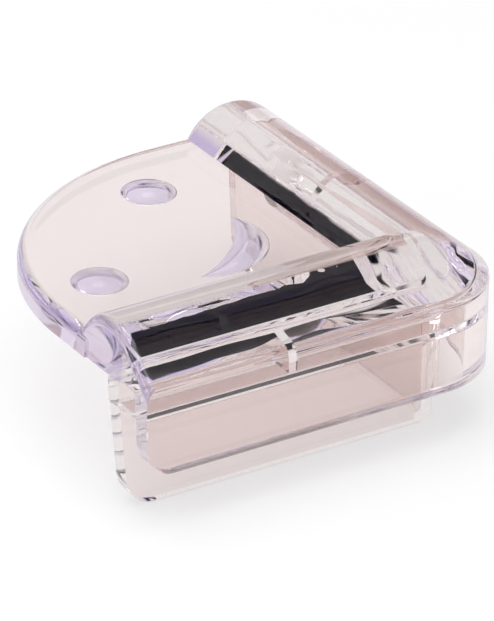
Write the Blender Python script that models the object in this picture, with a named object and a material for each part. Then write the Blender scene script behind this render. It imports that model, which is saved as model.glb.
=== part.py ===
"""Clear corner guard for a table or shelf, moulded in one piece from soft plastic.

A round-nosed plate lies on the furniture's top. Along the furniture's two edges it runs into a thick bumper with
a round crown, whose outer flank slopes down to a double-walled skirt: an inner sheet flat against the furniture,
and a shorter outer sheet with an air gap between them, tied by a level rib and short webs.

The guard is drawn with the furniture's corner at the origin, the furniture lying in -X and +Y below Z = 0.
A section point is (out, up): out from the furniture's side face, up from its top.
"""

import math

import bmesh
import bpy
from mathutils import Matrix, Vector

MM = 0.001

# Arms and plate
ARM_REACH = 45.2 * MM  # furniture corner to the straight end of an arm
NOSE_RADIUS = 33.0 * MM  # the plate's free corner
PLATE_THICKNESS = 3.2 * MM
PLATE_EDGE_ROUND = 1.5 * MM
PLATE_ROOT = 5.0 * MM  # the plate's inner edges, hidden in the bumper, inboard of the furniture's side faces

# Bumper along both edges of the furniture
CROWN_RADIUS = 7.35 * MM
CROWN_INSET = 0.15 * MM  # the crown's axis, inboard of the furniture's side face
CROWN_SINK = 0.25 * MM  # the crown's axis, below the furniture's top
CROWN_START = 165  # degrees round from the outside, hidden in the plate
FLANK_START = 50  # degrees round from the outside, where the crown runs into the straight flank
SHOULDER_RADIUS = 0.8 * MM  # between the flank and the outer sheet
BUMPER_END_ROUND = 1.3 * MM

# Skirt
INNER_SHEET = 2.4 * MM
SHEET_GAP = 3.75 * MM
OUTER_SHEET = 2.75 * MM
INNER_DROP = 17.8 * MM
OUTER_DROP = 10.4 * MM
CELL_CEILING = 0.4 * MM  # the bumper's underside between the sheets
RIB_THICKNESS = 0.8 * MM
RIB_DEPTH = 3.3 * MM  # underside of the rib, below the furniture's top
WEB_THICKNESS = 1.2 * MM
WEB_GAP = 0.4 * MM  # between a web's lower edge and the rib, so that the cell is open from end to end
WEB_PLACE = 23.6 * MM  # furniture corner to the web in each arm
SKIRT_SETBACK = 0.3 * MM  # the bumper's and the skirt's end, short of the plate's end
SHEET_SETBACK = 0.2 * MM  # the sheets below the rib, short of the bumper's end
SHEET_TAPER = 0.9 * MM  # how far an inner sheet's end leans in on its way down
INNER_CORNER_RADIUS = 4.8 * MM
OUTER_CORNER_RADIUS = 4.4 * MM
HEM_ROUND = 0.5 * MM  # the sheets' lower edges
CORNER_TURN = 1.8 * MM  # the inner sheet's upright corner, against the furniture

# Smiling face, hollowed into the plate's underside
EYE_RADIUS = 3.6 * MM
EYE_LONG = 35.5 * MM  # along one arm
EYE_SHORT = 17.7 * MM  # along the other
MOUTH_MIDDLE = 21.8 * MM  # from the furniture corner, on the diagonal
MOUTH_TIP = 26.0 * MM
MOUTH_HALF_SPAN = 8.4 * MM
MOUTH_HALF_WIDTH = 2.4 * MM
FACE_DEPTH = 2.0 * MM

# Roundness of the mesh
TURN_STEPS = 16
NOSE_STEPS = 48
CROWN_STEPS = 12
ARC_STEPS = 6
EYE_STEPS = 32
MOUTH_STEPS = 16

OVERLAP = 1.0 * MM  # how deep joined shapes run into each other, and cutters out of the guard
WELD = 0.001 * MM

SKIRT_REACH = INNER_SHEET + SHEET_GAP + OUTER_SHEET
DIAGONAL = math.radians(45)


def arc_points(centre, radius, start, end, steps=ARC_STEPS):
    """Points along an arc, from angle start to angle end in degrees."""
    turn = [math.radians(start + (end - start) * step / steps) for step in range(steps + 1)]
    return [(centre[0] + radius * math.cos(angle), centre[1] + radius * math.sin(angle)) for angle in turn]


def new_object(name, mesh, collection, parent):
    obj = bpy.data.objects.new(name, mesh)
    collection.objects.link(obj)
    obj.parent = parent
    return obj


def mesh_of(name, bm):
    bmesh.ops.remove_doubles(bm, verts=bm.verts, dist=WELD)
    bmesh.ops.recalc_face_normals(bm, faces=bm.faces)
    mesh = bpy.data.meshes.new(name)
    bm.to_mesh(mesh)
    bm.free()
    return mesh


def lofted(name, rings):
    """A closed solid through rings of points, one after the other, with a cap on the first and on the last."""
    bm = bmesh.new()
    loops = [[bm.verts.new(point) for point in ring] for ring in rings]
    for near, far in zip(loops, loops[1:]):
        for here in range(len(near)):
            bm.faces.new((near[here - 1], near[here], far[here], far[here - 1]))
    bm.faces.new(loops[0])
    bm.faces.new(loops[-1])
    return mesh_of(name, bm)


def swept_round_the_corner(name, sections):
    """Carries (out, up) sections along one arm, a quarter turn round the corner, and back along the other arm.

    Each is paired with its distance from the corner, from the arm's end inwards. The last one makes the turn.
    What lies inboard of the turn's axis can't go round it and runs to a mitre on the diagonal instead.
    """
    arm = [[(-reach, -out, up) for out, up in section] for reach, section in sections]
    other_arm = [[(out, reach, up) for out, up in section] for reach, section in reversed(sections)]
    turn = []
    for step in range(TURN_STEPS + 1):
        angle = math.radians(90) * step / TURN_STEPS
        ring = []
        for out, up in sections[-1][1]:
            radius = out + CORNER_TURN
            across = radius * math.sin(angle) if radius > 0 else radius
            along = radius * math.cos(angle) if radius > 0 else radius
            ring.append((across - CORNER_TURN, CORNER_TURN - along, up))
        turn.append(ring)
    return lofted(name, arm + turn + other_arm)


def prism(name, outline, height, place):
    """A flat outline carried up by a height, then set in place by a matrix."""
    rings = [[place @ Vector((across, along, up)) for across, along in outline] for up in (0, height)]
    return lofted(name, rings)


def crown_and_flank(inset):
    """The bumper's upper outline: the round crown, the straight flank, and the shoulder over the outer sheet."""
    axis = (-CROWN_INSET, -CROWN_SINK)
    radius = CROWN_RADIUS - inset
    over_turn = math.degrees(math.acos((CROWN_INSET - CORNER_TURN) / CROWN_RADIUS))
    outline = arc_points(axis, radius, CROWN_START, over_turn, CROWN_STEPS)
    outline += arc_points(axis, radius, over_turn, FLANK_START, CROWN_STEPS)[1:]
    slope = math.radians(FLANK_START)
    out = SKIRT_REACH - SHOULDER_RADIUS
    drop = (out + CROWN_INSET) * math.cos(slope)
    up = (radius - SHOULDER_RADIUS - drop) / math.sin(slope) - CROWN_SINK
    return outline + arc_points((out, up), SHOULDER_RADIUS, FLANK_START, 0)


def bumper_and_skirt_section(inset):
    """The bumper with both sheets and the solid down to the rib, which the cell is cut from."""
    outer_face = SKIRT_REACH
    outer_back = SKIRT_REACH - OUTER_SHEET
    hem = HEM_ROUND
    section = crown_and_flank(inset)
    foot = section[0][0]
    section += arc_points((outer_face - hem, hem - OUTER_DROP), hem, 0, -90, 3)
    section += arc_points((outer_back + hem, hem - OUTER_DROP), hem, -90, -180, 3)
    section += [(outer_back, -RIB_DEPTH), (INNER_SHEET, -RIB_DEPTH)]
    section += arc_points((INNER_SHEET - hem, hem - INNER_DROP), hem, 0, -90, 3)
    return section + [(-OVERLAP, -INNER_DROP), (-OVERLAP, -OVERLAP / 2), (foot, -OVERLAP / 2)]


def bumper_and_skirt_mesh():
    """The bumper's crown and flank are rounded off at both ends. The outer wall runs out square."""
    end = ARM_REACH - SKIRT_SETBACK
    rounding = arc_points((BUMPER_END_ROUND, BUMPER_END_ROUND), BUMPER_END_ROUND, 180, 270)
    return swept_round_the_corner(
        "bumper_and_skirt", [(end - along, bumper_and_skirt_section(inset)) for along, inset in rounding]
    )


def cell_mesh():
    """The tunnel between the bumper and the rib, open at both ends of the guard."""
    near, far = INNER_SHEET, SKIRT_REACH - OUTER_SHEET
    floor, ceiling = RIB_THICKNESS - RIB_DEPTH, CELL_CEILING
    section = [(near, ceiling), (far, ceiling), (far, floor), (near, floor)]
    return swept_round_the_corner("cell", [(ARM_REACH + OVERLAP, section), (CORNER_TURN, section)])


def plate_mesh():
    """A square with one big round corner. Its inner edges lie inside the bumper."""
    nose = (NOSE_RADIUS - ARM_REACH, ARM_REACH - NOSE_RADIUS)
    outline = [(-ARM_REACH, PLATE_ROOT), (-PLATE_ROOT, PLATE_ROOT), (-PLATE_ROOT, ARM_REACH)]
    outline += arc_points(nose, NOSE_RADIUS, 90, 180, NOSE_STEPS)
    bm = bmesh.new()
    bm.from_mesh(prism("plate", outline, OVERLAP + PLATE_THICKNESS, Matrix.Translation((0, 0, -OVERLAP))))
    top = [edge for edge in bm.edges if all(v.co.z > PLATE_THICKNESS - WELD for v in edge.verts)]
    root = PLATE_ROOT + WELD
    free_edge = [edge for edge in top if any(v.co.x < -root and v.co.y > root for v in edge.verts)]
    bmesh.ops.bevel(bm, geom=free_edge, offset=PLATE_EDGE_ROUND, segments=4, profile=0.5, affect="EDGES")
    return mesh_of("plate", bm)


def furniture_corner_mesh():
    """The furniture itself, as a cutter: it leaves the plate's underside and the inner sheets' flat faces."""
    size = 2 * ARM_REACH
    outline = [(-size, 0)]
    outline += arc_points((-CORNER_TURN, CORNER_TURN), CORNER_TURN, -90, 0, TURN_STEPS)
    outline += [(0, size), (-size, size)]
    return prism("furniture_corner", outline, size, Matrix.Translation((0, 0, -size)))


def sheet_end_mesh(name, drop, corner, taper, near, far):
    """What is cut off the end of one sheet: its step in below the rib, its taper and its round lower corner."""
    end = SKIRT_SETBACK + SHEET_SETBACK - ARM_REACH
    outside = -ARM_REACH - OVERLAP
    outline = [(outside, -RIB_DEPTH), (end, -RIB_DEPTH)]
    outline += arc_points((end + taper + corner, corner - drop), corner, 180, 270)
    outline += [(end + taper + corner, -drop - OVERLAP), (outside, -drop - OVERLAP)]
    stand_up = Matrix.Translation((0, -near, 0)) @ Matrix.Rotation(math.radians(90), 4, "X")
    return prism(name, outline, far - near, stand_up)


def web_mesh():
    """A short fin that hangs across the cell. It runs a little into the bumper and both sheets."""
    bite = OVERLAP / 2
    low, high = RIB_THICKNESS - RIB_DEPTH + WEB_GAP, CELL_CEILING + bite
    near, far = INNER_SHEET - bite, SKIRT_REACH - OUTER_SHEET + bite
    outline = [(near, low), (far, low), (far, high), (near, high)]
    place = Matrix(((0, 0, 1, -WEB_PLACE - WEB_THICKNESS / 2), (-1, 0, 0, 0), (0, 1, 0, 0), (0, 0, 0, 1)))
    return prism("web", outline, WEB_THICKNESS, place)


def eye_mesh():
    """A lens-shaped hollow, as round as the eye and as deep as the face."""
    bm = bmesh.new()
    bmesh.ops.create_uvsphere(bm, u_segments=EYE_STEPS, v_segments=EYE_STEPS // 2, radius=EYE_RADIUS)
    bmesh.ops.scale(bm, vec=(1, 1, FACE_DEPTH / EYE_RADIUS), verts=bm.verts)
    return mesh_of("eye", bm)


def mouth_mesh():
    """A crescent across the diagonal, widest in the middle, with a domed roof as deep as the face."""
    sag = MOUTH_TIP - MOUTH_MIDDLE
    bend = (MOUTH_HALF_SPAN**2 + sag**2) / (2 * sag)
    half_angle = math.asin(MOUTH_HALF_SPAN / bend)
    curve = bpy.data.curves.new("mouth", "CURVE")
    curve.dimensions = "3D"
    curve.bevel_depth = MOUTH_HALF_WIDTH
    curve.bevel_resolution = 4
    curve.use_fill_caps = True
    spline = curve.splines.new("POLY")
    spline.points.add(MOUTH_STEPS)
    for index, point in enumerate(spline.points):
        share = 2 * index / MOUTH_STEPS - 1
        angle = share * half_angle
        point.co = (bend * math.sin(angle), MOUTH_MIDDLE + bend * (1 - math.cos(angle)), 0, 1)
        point.radius = max(1 - share**2, 0.02)
    guide = bpy.data.objects.new("mouth_guide", curve)
    bpy.context.scene.collection.objects.link(guide)
    graph = bpy.context.evaluated_depsgraph_get()
    mesh = bpy.data.meshes.new_from_object(guide.evaluated_get(graph))
    bpy.data.objects.remove(guide)
    bm = bmesh.new()
    bm.from_mesh(mesh)
    bmesh.ops.scale(bm, vec=(1, 1, FACE_DEPTH / MOUTH_HALF_WIDTH), verts=bm.verts)
    return mesh_of("mouth", bm)


def as_cutter(obj):
    obj.hide_render = True
    obj.display_type = "WIRE"


def add_boolean(guard, operation, tool, solver="MANIFOLD"):
    """Cuts or joins a closed tool. The exact solver leaves open edges where a cut runs tangent to a sheet."""
    as_cutter(tool)
    modifier = guard.modifiers.new(f"{operation.lower()} {tool.name}", "BOOLEAN")
    modifier.operation = operation
    modifier.solver = solver
    modifier.object = tool


def mirrored(mesh, name):
    """The mirror image in the upright plane through the furniture corner, X and Y changing places."""
    twin = mesh.copy()
    twin.name = name
    twin.transform(Matrix(((0, -1, 0, 0), (-1, 0, 0, 0), (0, 0, 1, 0), (0, 0, 0, 1))))
    twin.flip_normals()
    return twin


def clear_soft_plastic():
    material = bpy.data.materials.new("clear_soft_plastic")
    material.use_nodes = True
    shader = material.node_tree.nodes["Principled BSDF"]
    shader.inputs["Base Color"].default_value = (0.93, 0.90, 0.90, 1)
    shader.inputs["Roughness"].default_value = 0.06
    shader.inputs["Metallic"].default_value = 0
    shader.inputs["IOR"].default_value = 1.5
    shader.inputs["Transmission Weight"].default_value = 1
    return material


def build():
    for obj in list(bpy.data.objects):
        bpy.data.objects.remove(obj)
    parts = bpy.data.collections.new("corner guard")
    tools = bpy.data.collections.new("cutters and joined shapes")
    for collection in (parts, tools):
        bpy.context.scene.collection.children.link(collection)
    corner = bpy.data.objects.new("furniture_corner_point", None)
    parts.objects.link(corner)
    off_centre = (ARM_REACH - SKIRT_REACH) / 2
    corner.location = (off_centre, -off_centre, INNER_DROP)

    guard = new_object("corner_guard", bumper_and_skirt_mesh(), parts, corner)

    plate = new_object("plate", plate_mesh(), tools, corner)
    add_boolean(guard, "UNION", plate, "EXACT")

    inner_end = sheet_end_mesh(
        "inner_end", INNER_DROP, INNER_CORNER_RADIUS, SHEET_TAPER, -2 * OVERLAP, INNER_SHEET + SHEET_GAP / 2
    )
    outer_end = sheet_end_mesh(
        "outer_end", OUTER_DROP, OUTER_CORNER_RADIUS, 0, INNER_SHEET + SHEET_GAP / 2, SKIRT_REACH + OVERLAP
    )
    ends = [inner_end, outer_end, mirrored(inner_end, "far_inner_end"), mirrored(outer_end, "far_outer_end")]
    for mesh in [furniture_corner_mesh(), cell_mesh()] + ends:
        tool = new_object(mesh.name, mesh, tools, corner)
        add_boolean(guard, "DIFFERENCE", tool)

    web = web_mesh()
    for mesh in (web, mirrored(web, "far_web")):
        tool = new_object(mesh.name, mesh, tools, corner)
        add_boolean(guard, "UNION", tool)

    eye = eye_mesh()
    face = [("eye", eye, (-EYE_LONG, EYE_SHORT, 0)), ("far_eye", eye, (-EYE_SHORT, EYE_LONG, 0))]
    for name, mesh, place in face:
        tool = new_object(name, mesh, tools, corner)
        tool.location = place
        add_boolean(guard, "DIFFERENCE", tool)
    mouth = new_object("mouth", mouth_mesh(), tools, corner)
    mouth.rotation_euler.z = DIAGONAL
    add_boolean(guard, "DIFFERENCE", mouth)

    guard.data.materials.append(clear_soft_plastic())
    guard.data.shade_smooth()
    guard.data.set_sharp_from_angle(angle=math.radians(32))


build()
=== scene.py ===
"""The looks of a clear corner guard, standing on the lower edges of its skirt on a pale studio floor."""

import math

import bmesh
import bpy
from mathutils import Matrix, Vector


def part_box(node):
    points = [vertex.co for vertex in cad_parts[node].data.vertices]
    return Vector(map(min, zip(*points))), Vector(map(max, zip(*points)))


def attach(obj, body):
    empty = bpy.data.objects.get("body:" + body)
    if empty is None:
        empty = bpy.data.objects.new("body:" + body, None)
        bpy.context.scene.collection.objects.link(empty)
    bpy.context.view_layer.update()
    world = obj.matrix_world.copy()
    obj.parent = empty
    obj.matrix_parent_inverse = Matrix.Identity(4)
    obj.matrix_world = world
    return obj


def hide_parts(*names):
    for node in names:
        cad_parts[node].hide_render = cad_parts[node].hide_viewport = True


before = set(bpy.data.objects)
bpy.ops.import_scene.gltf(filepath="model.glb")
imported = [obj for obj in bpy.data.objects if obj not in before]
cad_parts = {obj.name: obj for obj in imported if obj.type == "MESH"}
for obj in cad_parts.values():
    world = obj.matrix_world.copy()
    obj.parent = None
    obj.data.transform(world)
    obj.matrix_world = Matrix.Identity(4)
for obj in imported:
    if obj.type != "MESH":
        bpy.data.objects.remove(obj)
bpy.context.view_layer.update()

# The guard is one moulding of clear soft plastic, so it is one closed mesh here, finer than the CAD solid.
# The bumper and its double skirt come first, as one section that is carried round the corner. Places are
# measured from the furniture's corner point, where the plate's underside meets both inner faces.
MM = 0.001
ARM_REACH = 45.2 * MM
CROWN_RADIUS = 7.35 * MM
CROWN_INSET = 0.15 * MM
CROWN_SINK = 0.25 * MM
CROWN_START = 165
FLANK_START = 50
SHOULDER_RADIUS = 0.8 * MM
BUMPER_END_ROUND = 1.3 * MM
INNER_SHEET = 2.4 * MM
SHEET_GAP = 3.75 * MM
OUTER_SHEET = 2.75 * MM
SKIRT_REACH = INNER_SHEET + SHEET_GAP + OUTER_SHEET
INNER_DROP = 17.8 * MM
OUTER_DROP = 10.4 * MM
RIB_DEPTH = 3.3 * MM
RIB_FILLET = 0.15 * MM
SKIRT_SETBACK = 0.3 * MM
HEM_ROUND = 0.5 * MM
CORNER_TURN = 1.8 * MM
TURN_STEPS = 48
CROWN_STEPS = 28
FILLET_STEPS = 8
OVERLAP = 1.0 * MM
WELD = 0.0005 * MM

low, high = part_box("corner_guard")
corner = Vector((high.x - SKIRT_REACH, low.y + SKIRT_REACH, low.z + INNER_DROP))


def arc_points(centre, radius, start, end, steps=FILLET_STEPS):
    """Points along an arc, from angle start to angle end in degrees."""
    turn = [math.radians(start + (end - start) * step / steps) for step in range(steps + 1)]
    return [(centre[0] + radius * math.cos(angle), centre[1] + radius * math.sin(angle)) for angle in turn]


def object_of(name, bm):
    bmesh.ops.remove_doubles(bm, verts=bm.verts, dist=WELD)
    bmesh.ops.recalc_face_normals(bm, faces=bm.faces)
    mesh = bpy.data.meshes.new(name)
    bm.to_mesh(mesh)
    bm.free()
    mesh.shade_smooth()
    obj = bpy.data.objects.new(name, mesh)
    bpy.context.scene.collection.objects.link(obj)
    return obj


def lofted(name, rings):
    """A closed solid through rings of points, one after the other, capped on the first and on the last."""
    bm = bmesh.new()
    loops = [[bm.verts.new(corner + Vector(point)) for point in ring] for ring in rings]
    for near, far in zip(loops, loops[1:]):
        for here in range(len(near)):
            bm.faces.new((near[here - 1], near[here], far[here], far[here - 1]))
    bm.faces.new(loops[0])
    bm.faces.new(loops[-1])
    return object_of(name, bm)


def swept_round_the_corner(name, sections, other_sections):
    """Carries (out, up) sections, each with its distance from the corner, along one arm, round the corner
    and back along the other arm. What lies inside the turn's axis meets in a mitre."""
    arm = [[(-reach, -out, up) for out, up in section] for reach, section in sections]
    other_arm = [[(out, reach, up) for out, up in section] for reach, section in reversed(other_sections)]
    turn = []
    for step in range(TURN_STEPS + 1):
        angle = math.radians(90) * step / TURN_STEPS
        ring = []
        for out, up in sections[-1][1]:
            radius = out + CORNER_TURN
            across = radius * math.sin(angle) if radius > 0 else radius
            along = radius * math.cos(angle) if radius > 0 else radius
            ring.append((across - CORNER_TURN, CORNER_TURN - along, up))
        turn.append(ring)
    return lofted(name, arm + turn + other_arm)


def bumper_and_skirt_section(inset):
    """The section as (out, up) points, with the crown, flank and shoulder pulled in by an inset."""
    axis = (-CROWN_INSET, -CROWN_SINK)
    radius = CROWN_RADIUS - inset
    over_turn = math.degrees(math.acos((CROWN_INSET - CORNER_TURN) / CROWN_RADIUS))
    section = arc_points(axis, radius, CROWN_START, over_turn, CROWN_STEPS)
    section += arc_points(axis, radius, over_turn, FLANK_START, CROWN_STEPS)[1:]
    foot = section[0][0]
    slope = math.radians(FLANK_START)
    out = SKIRT_REACH - SHOULDER_RADIUS
    drop = (out + CROWN_INSET) * math.cos(slope)
    up = (radius - SHOULDER_RADIUS - drop) / math.sin(slope) - CROWN_SINK
    section += arc_points((out, up), SHOULDER_RADIUS, FLANK_START, 0)
    hem, fillet = HEM_ROUND, RIB_FILLET
    back = SKIRT_REACH - OUTER_SHEET
    section += arc_points((SKIRT_REACH - hem, hem - OUTER_DROP), hem, 0, -90)
    section += arc_points((back + hem, hem - OUTER_DROP), hem, -90, -180)
    section += arc_points((back - fillet, -RIB_DEPTH - fillet), fillet, 0, 90)
    section += arc_points((INNER_SHEET + fillet, -RIB_DEPTH - fillet), fillet, 90, 180)
    section += arc_points((INNER_SHEET - hem, hem - INNER_DROP), hem, 0, -90)
    return section + [(-OVERLAP, -INNER_DROP), (-OVERLAP, -OVERLAP / 2), (foot, -OVERLAP / 2)]


end = ARM_REACH - SKIRT_SETBACK
rounding = arc_points((BUMPER_END_ROUND, BUMPER_END_ROUND), BUMPER_END_ROUND, 180, 270)
sections = [(end - along, bumper_and_skirt_section(inset)) for along, inset in rounding]
guard = swept_round_the_corner("moulded_guard", sections, sections)
tools = []


def join_or_cut(operation, tool, solver="MANIFOLD"):
    modifier = guard.modifiers.new(tool.name, "BOOLEAN")
    modifier.operation = operation
    modifier.solver = solver
    modifier.object = tool
    tools.append(tool)


# The plate is a flat sheet of the same moulding with one big round corner and a rolled-over free edge.
# It grows out of the bumper, so its straight inner edges are drawn inside the bumper, out of sight.
NOSE_RADIUS = 33.0 * MM
PLATE_THICKNESS = 3.2 * MM
PLATE_EDGE_ROUND = 1.5 * MM
PLATE_ROOT = 5.0 * MM
NOSE_STEPS = 120


def plate_outline(inset):
    nose = (NOSE_RADIUS - ARM_REACH, ARM_REACH - NOSE_RADIUS)
    reach = ARM_REACH - inset
    outline = [(-reach, PLATE_ROOT), (-PLATE_ROOT, PLATE_ROOT), (-PLATE_ROOT, reach)]
    return outline + arc_points(nose, NOSE_RADIUS - inset, 90, 180, NOSE_STEPS)


edge = arc_points((PLATE_EDGE_ROUND, PLATE_THICKNESS - PLATE_EDGE_ROUND), PLATE_EDGE_ROUND, 180, 90)
rings = [[(x, y, up) for x, y in plate_outline(inset)] for inset, up in [(0, -OVERLAP)] + edge]
join_or_cut("UNION", lofted("plate", rings), "EXACT")


# The furniture's own corner leaves the plate's flat underside and the inner sheets' flat inner faces. It is
# cut out as one block, rounded where the inner sheets turn the corner.
def prism(name, outline, height, place):
    """A flat outline carried up by a height, then set in place by a matrix."""
    return lofted(name, [[place @ Vector((x, y, up)) for x, y in outline] for up in (0, height)])


size = 2 * ARM_REACH
outline = [(-size, 0)]
outline += arc_points((-CORNER_TURN, CORNER_TURN), CORNER_TURN, -90, 0, TURN_STEPS)
outline += [(0, size), (-size, size)]
join_or_cut("DIFFERENCE", prism("furniture_corner", outline, size, Matrix.Translation((0, 0, -size))))

# The cell is the tunnel between the sheets, from the bumper down to the rib, and is open at both ends. Its
# ceiling is slightly wavy in one arm, as a thick moulding's can be after it has cooled unevenly.
RIB_THICKNESS = 0.8 * MM
CELL_CEILING = 0.4 * MM
CELL_FILLET = 0.45 * MM
CEILING_SWELL = 0.16 * MM
CEILING_FADE = 5.0 * MM
SHORT_WAVE = 2.9 * MM
LONG_WAVE = 7.3 * MM
LONG_WAVE_START = 0.6
LEAN_WAVE = 5.1 * MM
LEAN_WAVE_START = 1.0
CELL_RINGS = 60


def cell_section(reach, waviness):
    near, far = INNER_SHEET, SKIRT_REACH - OUTER_SHEET
    fillet = CELL_FILLET
    rib_top = RIB_THICKNESS - RIB_DEPTH
    depth = CEILING_SWELL * waviness * min((reach - CORNER_TURN) / CEILING_FADE, 1)
    swell = depth * math.sin(reach / SHORT_WAVE) * math.sin(reach / LONG_WAVE + LONG_WAVE_START)
    lean = depth * math.sin(reach / LEAN_WAVE + LEAN_WAVE_START)
    section = arc_points((near + fillet, CELL_CEILING + swell - fillet), fillet, 180, 90)
    section += arc_points((far - fillet, CELL_CEILING + swell + lean - fillet), fillet, 90, 0)
    section += arc_points((far - fillet, rib_top + fillet), fillet, 0, -90)
    return section + arc_points((near + fillet, rib_top + fillet), fillet, -90, -180)


mouth_of_cell = ARM_REACH + OVERLAP
length = mouth_of_cell - CORNER_TURN
reaches = [mouth_of_cell - length * step / CELL_RINGS for step in range(CELL_RINGS + 1)]
wavy, flat = [[(reach, cell_section(reach, waviness)) for reach in reaches] for waviness in (1, 0)]
join_or_cut("DIFFERENCE", swept_round_the_corner("cell", wavy, flat))

# Both sheets of each arm are trimmed at the arm's end: they step in a little below the rib, and their free
# lower corners are round.
SHEET_SETBACK = 0.2 * MM
SHEET_TAPER = 0.9 * MM
INNER_CORNER_RADIUS = 4.8 * MM
OUTER_CORNER_RADIUS = 4.4 * MM
BETWEEN_SHEETS = INNER_SHEET + SHEET_GAP / 2
TRIM_STEPS = 24
ACROSS_DIAGONAL = Matrix(((0, -1, 0, 0), (-1, 0, 0, 0), (0, 0, 1, 0), (0, 0, 0, 1)))


def trim_sheet(name, drop, radius, taper, near, far):
    start = SKIRT_SETBACK + SHEET_SETBACK - ARM_REACH
    outside = -ARM_REACH - OVERLAP
    outline = [(outside, -RIB_DEPTH), (start, -RIB_DEPTH)]
    outline += arc_points((start + taper + radius, radius - drop), radius, 180, 270, TRIM_STEPS)
    outline += [(start + taper + radius, -drop - OVERLAP), (outside, -drop - OVERLAP)]
    stand_up = Matrix.Translation((0, -near, 0)) @ Matrix.Rotation(math.radians(90), 4, "X")
    join_or_cut("DIFFERENCE", prism(name, outline, far - near, stand_up))
    join_or_cut("DIFFERENCE", prism(name + "_other_arm", outline, far - near, ACROSS_DIAGONAL @ stand_up))


trim_sheet("inner_sheet_end", INNER_DROP, INNER_CORNER_RADIUS, SHEET_TAPER, -2 * OVERLAP, BETWEEN_SHEETS)
trim_sheet("outer_sheet_end", OUTER_DROP, OUTER_CORNER_RADIUS, 0, BETWEEN_SHEETS, SKIRT_REACH + OVERLAP)

# A short web is moulded across the cell in each arm, about half-way along, and joins its two sheets. It
# hangs from the ceiling and stops just above the rib.
WEB_THICKNESS = 1.2 * MM
WEB_GAP = 0.4 * MM
WEB_PLACE = 23.6 * MM

bite = OVERLAP / 2
web_low, web_high = RIB_THICKNESS - RIB_DEPTH + WEB_GAP, CELL_CEILING + bite
web_near, web_far = INNER_SHEET - bite, SKIRT_REACH - OUTER_SHEET + bite
outline = [(web_near, web_low), (web_far, web_low), (web_far, web_high), (web_near, web_high)]
across_arm = Matrix(((0, 0, 1, -WEB_PLACE - WEB_THICKNESS / 2), (-1, 0, 0, 0), (0, 1, 0, 0), (0, 0, 0, 1)))
join_or_cut("UNION", prism("web", outline, WEB_THICKNESS, across_arm))
join_or_cut("UNION", prism("web_other_arm", outline, WEB_THICKNESS, ACROSS_DIAGONAL @ across_arm))

# The smiling face is moulded into the plate's underside as hollows: two lens-shaped eyes, and a crescent
# mouth with a domed roof. It looks out along the diagonal, with the mouth nearer to the corner.
FACE_DEPTH = 2.0 * MM
EYE_RADIUS = 3.6 * MM
EYE_LONG = 35.5 * MM
EYE_SHORT = 17.7 * MM
EYE_STEPS = 72

for name, x, y in (("eye", -EYE_LONG, EYE_SHORT), ("other_eye", -EYE_SHORT, EYE_LONG)):
    bm = bmesh.new()
    bmesh.ops.create_uvsphere(bm, u_segments=EYE_STEPS, v_segments=EYE_STEPS // 2, radius=EYE_RADIUS)
    bmesh.ops.scale(bm, vec=(1, 1, FACE_DEPTH / EYE_RADIUS), verts=bm.verts)
    bmesh.ops.translate(bm, vec=corner + Vector((x, y, 0)), verts=bm.verts)
    join_or_cut("DIFFERENCE", object_of(name, bm))

MOUTH_MIDDLE = 21.8 * MM
MOUTH_TIP = 26.0 * MM
MOUTH_HALF_SPAN = 8.4 * MM
MOUTH_HALF_WIDTH = 2.4 * MM
MOUTH_TIP_SHARE = 0.02
MOUTH_STEPS = 60
MOUTH_ROUND = 40

sag = MOUTH_TIP - MOUTH_MIDDLE
bend = (MOUTH_HALF_SPAN**2 + sag**2) / (2 * sag)
along_diagonal = Matrix.Rotation(math.radians(45), 3, "Z")
rings = []
for step in range(MOUTH_STEPS + 1):
    share = 2 * step / MOUTH_STEPS - 1
    angle = share * math.asin(MOUTH_HALF_SPAN / bend)
    width = MOUTH_HALF_WIDTH * max(1 - share**2, MOUTH_TIP_SHARE)
    height = width * FACE_DEPTH / MOUTH_HALF_WIDTH
    ring = []
    for spoke in range(MOUTH_ROUND):
        turn = math.radians(360) * spoke / MOUTH_ROUND
        reach = bend + width * math.cos(turn)
        across, along = reach * math.sin(angle), MOUTH_MIDDLE + bend - reach * math.cos(angle)
        ring.append(along_diagonal @ Vector((across, along, height * math.sin(turn))))
    rings.append(ring)
join_or_cut("DIFFERENCE", lofted("mouth", rings))

# Here the parts of the moulding become one mesh. Round forms shade smoothly, and the moulding's true edges
# stay crisp.
SHARP_OVER = 32
CLEAN_UP = 0.001 * MM

graph = bpy.context.evaluated_depsgraph_get()
guard.data = bpy.data.meshes.new_from_object(guard.evaluated_get(graph))
guard.modifiers.clear()
for tool in tools:
    bpy.data.objects.remove(tool)
bm = bmesh.new()
bm.from_mesh(guard.data)
bmesh.ops.remove_doubles(bm, verts=bm.verts, dist=CLEAN_UP)
bmesh.ops.dissolve_degenerate(bm, edges=bm.edges, dist=CLEAN_UP)
bm.to_mesh(guard.data)
bm.free()
guard.data.shade_smooth()
guard.data.set_sharp_from_angle(angle=math.radians(SHARP_OVER))
even = guard.modifiers.new("flat faces stay flat", "WEIGHTED_NORMAL")
even.keep_sharp = True

# The clear soft plastic is glassy and faintly rosy, and has the slow ripple of a moulded surface. Where it
# is seen edge-on its colour deepens: painted shade that darkens the outlines, partly standing for the longer
# path through the tinted plastic. The rim and the arms' ends get a painted lavender reflection. The face's
# hollows get a painted pearly lavender reflection and are less clear.
ROSY_CLEAR = (0.88, 0.80, 0.785)
# Painted reflection: lavender for the rim and the arms' ends, in place of the lavender light they mirror.
RIM_PAINTED_REFLECTION = (0.58, 0.49, 0.72)
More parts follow.
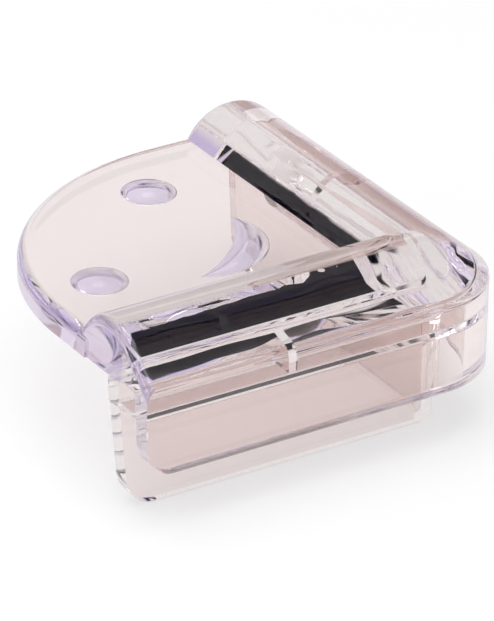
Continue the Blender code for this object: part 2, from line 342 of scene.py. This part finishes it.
# Painted reflection: pearly lavender, less clear, for the face's hollows, in place of the bright light they
# mirror.
HOLLOW_PAINTED_REFLECTION = (0.72, 0.65, 0.93)
HOLLOW_REFLECTION_CLEARNESS = 0.8
HOLLOW_REFLECTION_ROUGHNESS = 0.05
PLASTIC_IOR = 1.5
EDGE_ON_FROM = 0.72
EDGE_ON_SHARE = 0.5
RIPPLE_SCALE = 160
RIPPLE_DETAIL = 2
RIPPLE_STRENGTH = 0.05
RIPPLE_DEPTH = 0.3 * MM


def clear_plastic(name, colour, clearness=1, roughness=0):
    plastic = bpy.data.materials.new(name)
    plastic.use_nodes = True
    nodes, links = plastic.node_tree.nodes, plastic.node_tree.links
    shader = nodes["Principled BSDF"]
    shader.inputs["IOR"].default_value = PLASTIC_IOR
    shader.inputs["Transmission Weight"].default_value = clearness
    shader.inputs["Roughness"].default_value = roughness
    glance = nodes.new("ShaderNodeLayerWeight")
    edge_on = nodes.new("ShaderNodeMapRange")
    edge_on.interpolation_type = "SMOOTHSTEP"
    edge_on.inputs["From Min"].default_value = EDGE_ON_FROM
    links.new(glance.outputs["Facing"], edge_on.inputs["Value"])
    # Painted shade: the colour darkens where the surface is seen edge-on, so the outlines come out darker.
    painted_edge_shade = nodes.new("ShaderNodeMix")
    painted_edge_shade.data_type = "RGBA"
    painted_edge_shade.inputs["A"].default_value = (*colour, 1)
    painted_edge_shade.inputs["B"].default_value = (*(part * part * EDGE_ON_SHARE for part in colour), 1)
    links.new(edge_on.outputs["Result"], painted_edge_shade.inputs["Factor"])
    links.new(painted_edge_shade.outputs["Result"], shader.inputs["Base Color"])
    coordinates = nodes.new("ShaderNodeTexCoord")
    ripple = nodes.new("ShaderNodeTexNoise")
    ripple.inputs["Scale"].default_value = RIPPLE_SCALE
    ripple.inputs["Detail"].default_value = RIPPLE_DETAIL
    links.new(coordinates.outputs["Object"], ripple.inputs["Vector"])
    bump = nodes.new("ShaderNodeBump")
    bump.inputs["Strength"].default_value = RIPPLE_STRENGTH
    bump.inputs["Distance"].default_value = RIPPLE_DEPTH
    links.new(ripple.outputs["Fac"], bump.inputs["Height"])
    links.new(bump.outputs["Normal"], shader.inputs["Normal"])
    return plastic


guard.data.materials.clear()
guard.data.materials.append(clear_plastic("clear_soft_plastic", ROSY_CLEAR))
# Painted reflections: the second material is lavender for the rim, the third is pearly for the face's
# hollows.
guard.data.materials.append(clear_plastic("lavender_rim_painted_reflection", RIM_PAINTED_REFLECTION))
guard.data.materials.append(clear_plastic("pearly_hollow_painted_reflection", HOLLOW_PAINTED_REFLECTION, HOLLOW_REFLECTION_CLEARNESS, HOLLOW_REFLECTION_ROUGHNESS))
CLEAR, PAINTED_RIM, PAINTED_HOLLOW = range(3)

# The rim, where the lavender reflection is painted, is the band of upright faces round the plate's free edge
# and on the bumper's ends. The hollows, where the pearly reflection is painted, are what lies inside the
# plate's thickness, well in from that edge and clear of the bumper.
RIM_DEPTH = 1.45 * MM
RIM_LOW = -0.2 * MM
RIM_TILT = 0.85
HOLLOW_LOW = 0.02 * MM
HOLLOW_HIGH = FACE_DEPTH + 0.1 * MM
HOLLOW_FROM_BUMPER = 9 * MM
HOLLOW_FROM_EDGE = 3 * MM

nose = ARM_REACH - NOSE_RADIUS
for face in guard.data.polygons:
    x, y, up = face.center - corner
    aside, along = -x - nose, y - nose
    out = math.hypot(aside, along) if aside > 0 and along > 0 else max(aside, along)
    clear_of_bumper = -x > HOLLOW_FROM_BUMPER and y > HOLLOW_FROM_BUMPER
    face.material_index = CLEAR
    # Rim faces get the painted lavender reflection, and hollow faces get the painted pearly one.
    if out > NOSE_RADIUS - RIM_DEPTH and up > RIM_LOW and abs(face.normal.z) < RIM_TILT:
        face.material_index = PAINTED_RIM
    if HOLLOW_LOW < up < HOLLOW_HIGH and clear_of_bumper and out < NOSE_RADIUS - HOLLOW_FROM_EDGE:
        face.material_index = PAINTED_HOLLOW

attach(guard, "root")
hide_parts("corner_guard")

# Pale studio floor, level with the skirt's lower edges. It is seen nearly white, both directly and in the
# plastic, and keeps the guard's soft shadow.
FLOOR_SIZE = 4.0
FLOOR_COLOUR = (0.87, 0.87, 0.87, 1)
FLOOR_ROUGHNESS = 0.7
FLOOR_WHITENESS = 0.6

bpy.ops.mesh.primitive_plane_add(size=FLOOR_SIZE, location=(0, 0, low.z))
floor = bpy.context.object
floor.name = "floor"
paint = bpy.data.materials.new("pale_floor")
paint.use_nodes = True
nodes, links = paint.node_tree.nodes, paint.node_tree.links
shader = nodes["Principled BSDF"]
shader.inputs["Base Color"].default_value = FLOOR_COLOUR
shader.inputs["Roughness"].default_value = FLOOR_ROUGHNESS
ray = nodes.new("ShaderNodeLightPath")
seen_or_mirrored = nodes.new("ShaderNodeMath")
seen_or_mirrored.operation = "MAXIMUM"
links.new(ray.outputs["Is Camera Ray"], seen_or_mirrored.inputs[0])
links.new(ray.outputs["Is Glossy Ray"], seen_or_mirrored.inputs[1])
or_through_plastic = nodes.new("ShaderNodeMath")
or_through_plastic.operation = "MAXIMUM"
links.new(seen_or_mirrored.outputs["Value"], or_through_plastic.inputs[0])
links.new(ray.outputs["Is Transmission Ray"], or_through_plastic.inputs[1])
whiteness = nodes.new("ShaderNodeMath")
whiteness.operation = "MULTIPLY"
links.new(or_through_plastic.outputs["Value"], whiteness.inputs[0])
whiteness.inputs[1].default_value = FLOOR_WHITENESS
white = nodes.new("ShaderNodeEmission")
blend = nodes.new("ShaderNodeMixShader")
links.new(whiteness.outputs["Value"], blend.inputs[0])
links.new(shader.outputs["BSDF"], blend.inputs[1])
links.new(white.outputs["Emission"], blend.inputs[2])
links.new(blend.outputs["Shader"], nodes["Material Output"].inputs["Surface"])
floor.data.materials.append(paint)

# Camera: a long lens, a third of the way round to the left and a little under 30 degrees up.
AZIMUTH = math.radians(-32.85)
ELEVATION = math.radians(27.66)
ROLL = math.radians(1.08)
FOCAL_PX = 4958
LONG_SIDE_PX = 621
SENSOR = 36
DISTANCE = 607.9 * MM
ASIDE = -21.5 * MM
UP = -3.06 * MM
CLIP_START = 10 * MM

along_floor = math.cos(ELEVATION)
back = Vector((math.sin(AZIMUTH) * along_floor, -math.cos(AZIMUTH) * along_floor, math.sin(ELEVATION)))
level = Vector((math.cos(AZIMUTH), math.sin(AZIMUTH), 0))
upright = back.cross(level)
right = math.cos(ROLL) * level + math.sin(ROLL) * upright
up = math.cos(ROLL) * upright - math.sin(ROLL) * level
lens = bpy.data.cameras.new("camera")
lens.sensor_width = SENSOR
lens.lens = FOCAL_PX * SENSOR / LONG_SIDE_PX
lens.clip_start = CLIP_START
camera = bpy.data.objects.new("camera", lens)
bpy.context.scene.collection.objects.link(camera)
place = corner + DISTANCE * back + ASIDE * right + UP * up
camera.matrix_world = Matrix.Translation(place) @ Matrix((right, up, back)).transposed().to_4x4()
bpy.context.scene.camera = camera

# Soft light: a big overhead panel and a lavender panel low on the left.
middle = (low + high) / 2


def panel(name, size, power, colour, place):
    light = bpy.data.lights.new(name, "AREA")
    light.shape = "RECTANGLE"
    light.size, light.size_y = size
    light.energy = power
    light.color = colour
    lamp = bpy.data.objects.new(name, light)
    bpy.context.scene.collection.objects.link(lamp)
    lamp.location = place
    lamp.rotation_euler = (middle - Vector(place)).to_track_quat("-Z", "Y").to_euler()


panel("overhead", size=(0.5, 0.5), power=2.4, colour=(1, 1, 1), place=(-0.1, -0.05, 0.6))
panel("left_side", size=(0.3, 0.35), power=0.9, colour=(0.82, 0.78, 1), place=(-0.7, -0.1, 0.22))

# The studio round it is pale. To the right and behind stand two dark flags, one low and one high, which the
# clear plastic mirrors as black strips. Nearer on the right it is lavender low down.
LAVENDER = (0.64, 0.59, 0.88)
PALE = (0.86, 0.85, 0.87)
NAVY = (0.002, 0.002, 0.007)
LAVENDER_SIDE = ((0.0, LAVENDER), (1.0, PALE), (0.3, LAVENDER), (0.4, PALE))
GLOW_AND_LOW_FLAG = ((0.0, LAVENDER), (1.0, NAVY), (0.09, LAVENDER), (0.13, NAVY), (0.39, NAVY))
GAP_AND_HIGH_FLAG = ((0.42, PALE), (0.50, PALE), (0.53, NAVY))

world = bpy.data.worlds.new("studio")
bpy.context.scene.world = world
world.use_nodes = True
nodes, links = world.node_tree.nodes, world.node_tree.links
direction = nodes.new("ShaderNodeTexCoord")
parts = nodes.new("ShaderNodeSeparateXYZ")
links.new(direction.outputs["Generated"], parts.inputs["Vector"])


def bands(stops):
    """Colours from the horizon, 0, to straight up, 1. A ramp comes with its first two stops."""
    ramp = nodes.new("ShaderNodeValToRGB")
    elements = ramp.color_ramp.elements
    for index, (height, colour) in enumerate(stops):
        element = elements[index] if index < 2 else elements.new(height)
        element.position = height
        element.color = (*colour, 1)
    links.new(parts.outputs["Z"], ramp.inputs["Fac"])
    return ramp.outputs["Color"]


def share_past(value, start, end):
    """How far a value has gone from start to end, from 0 to 1."""
    share = nodes.new("ShaderNodeMapRange")
    share.interpolation_type = "SMOOTHSTEP"
    share.inputs["From Min"].default_value = start
    share.inputs["From Max"].default_value = end
    links.new(value, share.inputs["Value"])
    return share.outputs["Result"]


def mixed(share, colour, other_colour):
    mix = nodes.new("ShaderNodeMix")
    mix.data_type = "RGBA"
    for socket, value in (("Factor", share), ("A", colour), ("B", other_colour)):
        if isinstance(value, tuple):
            mix.inputs[socket].default_value = (*value, 1)
        else:
            links.new(value, mix.inputs[socket])
    return mix.outputs["Result"]


from_near_to_far = share_past(parts.outputs["Y"], start=-0.4, end=-0.3)
to_the_right = share_past(parts.outputs["X"], start=0.3, end=0.4)
right_half = mixed(from_near_to_far, bands(LAVENDER_SIDE), bands(GLOW_AND_LOW_FLAG + GAP_AND_HIGH_FLAG))
all_round = mixed(to_the_right, PALE, right_half)

# A small dark flag far to the left, which the far arm's crown mirrors. Seen directly, the studio is plain.
SMALL_FLAG = Vector((-0.58, 0.72, 0.36)).normalized()

toward_flag = nodes.new("ShaderNodeVectorMath")
toward_flag.operation = "DOT_PRODUCT"
toward_flag.inputs[1].default_value = SMALL_FLAG
links.new(direction.outputs["Generated"], toward_flag.inputs[0])
in_flag = share_past(toward_flag.outputs["Value"], start=0.955, end=0.98)
with_flag = mixed(in_flag, all_round, NAVY)
ray = nodes.new("ShaderNodeLightPath")
plain_if_seen = mixed(ray.outputs["Is Camera Ray"], with_flag, PALE)
links.new(plain_if_seen, nodes["Background"].inputs["Color"])

# Light goes back and forth inside the clear plastic many times before it comes out.
LIGHT_BOUNCES = 40

cycles = bpy.context.scene.cycles
cycles.max_bounces = LIGHT_BOUNCES
cycles.glossy_bounces = LIGHT_BOUNCES
cycles.transmission_bounces = LIGHT_BOUNCES
bpy.context.scene.view_settings.view_transform = "Standard"
